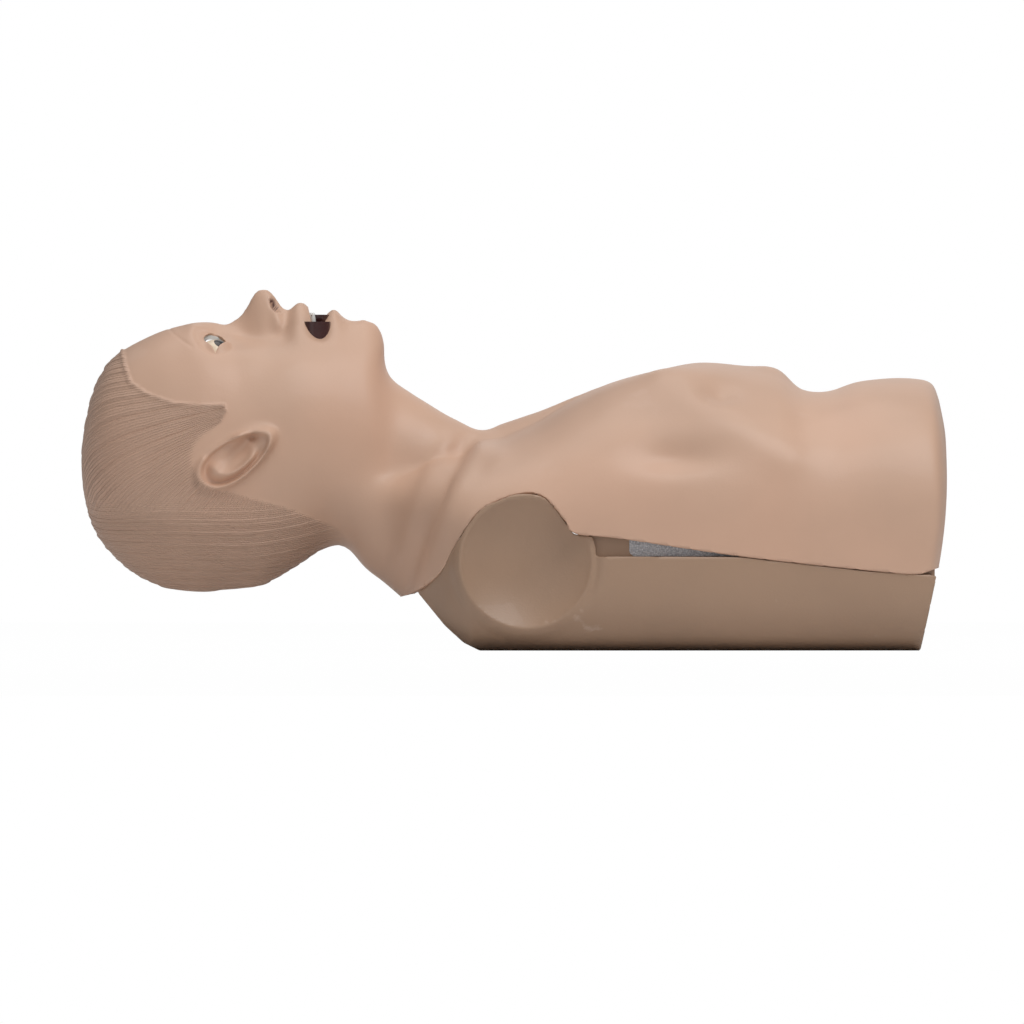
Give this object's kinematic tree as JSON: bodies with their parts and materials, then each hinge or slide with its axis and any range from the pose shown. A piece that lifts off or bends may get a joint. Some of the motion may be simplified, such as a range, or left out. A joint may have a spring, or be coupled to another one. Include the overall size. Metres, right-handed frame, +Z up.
{
  "type": "cpr training manikin",
  "caption": "Adult resuscitation training manikin: tilting head with open mouth on a torso with sprung chest, arm sockets and hard base tray.",
  "frame": {"origin": "on the table below the middle of the manikin's length and width", "axes": "+X from crown to waist, +Y to the manikin's left, +Z up from the back to the face and chest"},
  "size_m": [0.6736, 0.333, 0.2822],
  "materials": {
    "skin_vinyl": "soft vinyl, satin",
    "base_plastic": "moulded, satin",
    "hook_strip": "hook and loop tape",
    "steel": "zinc plated",
    "spring_steel": "oiled",
    "white_plastic": "moulded",
    "grey_plastic": "moulded",
    "lung_film": "thin film",
    "tube_plastic": "translucent",
    "eye_white": "glossy",
    "mouth_red": "soft",
    "tooth_white": "glossy"
  },
  "bodies": {
    "torso": {"torso_base": "base_plastic", "chest_skin": "skin_vinyl", "hook_strip_right": "hook_strip", "hook_strip_left": "hook_strip", "loop_strip_right": "hook_strip", "loop_strip_left": "hook_strip", "neck_post": "grey_plastic", "neck_post_bolts": "steel", "neck_pin": "steel", "neck_pin_clips": "spring_steel", "trachea_tube": "tube_plastic", "spring_base": "grey_plastic", "spring_base_screws": "steel", "compression_spring": "spring_steel"},
    "chest": {"plunger": "white_plastic", "rib_plate": "white_plastic", "rib_plate_screws": "steel", "lung_bag": "lung_film"},
    "head": {"head_skin": "skin_vinyl", "skull_shell": "white_plastic", "eye_right": "eye_white", "eye_left": "eye_white", "mouth_lining": "mouth_red", "throat_tube": "tube_plastic", "upper_teeth": "tooth_white", "lower_teeth": "tooth_white", "tongue": "mouth_red"}
  },
  "joints": [
    {"name": "chest_press", "type": "slide", "parent": "torso", "child": "chest", "axis": [0, 0, -1], "range_m": [0, 0.05], "stiffness_N_per_m": 9000, "springref_m": -0.001, "deforming": ["compression_spring"]},
    {"name": "head_tilt", "type": "hinge", "parent": "torso", "child": "head", "pos_m": [-0.1166, 0, 0.1513], "axis": [0, 1, 0], "range_deg": [0, 24]}
  ]
}
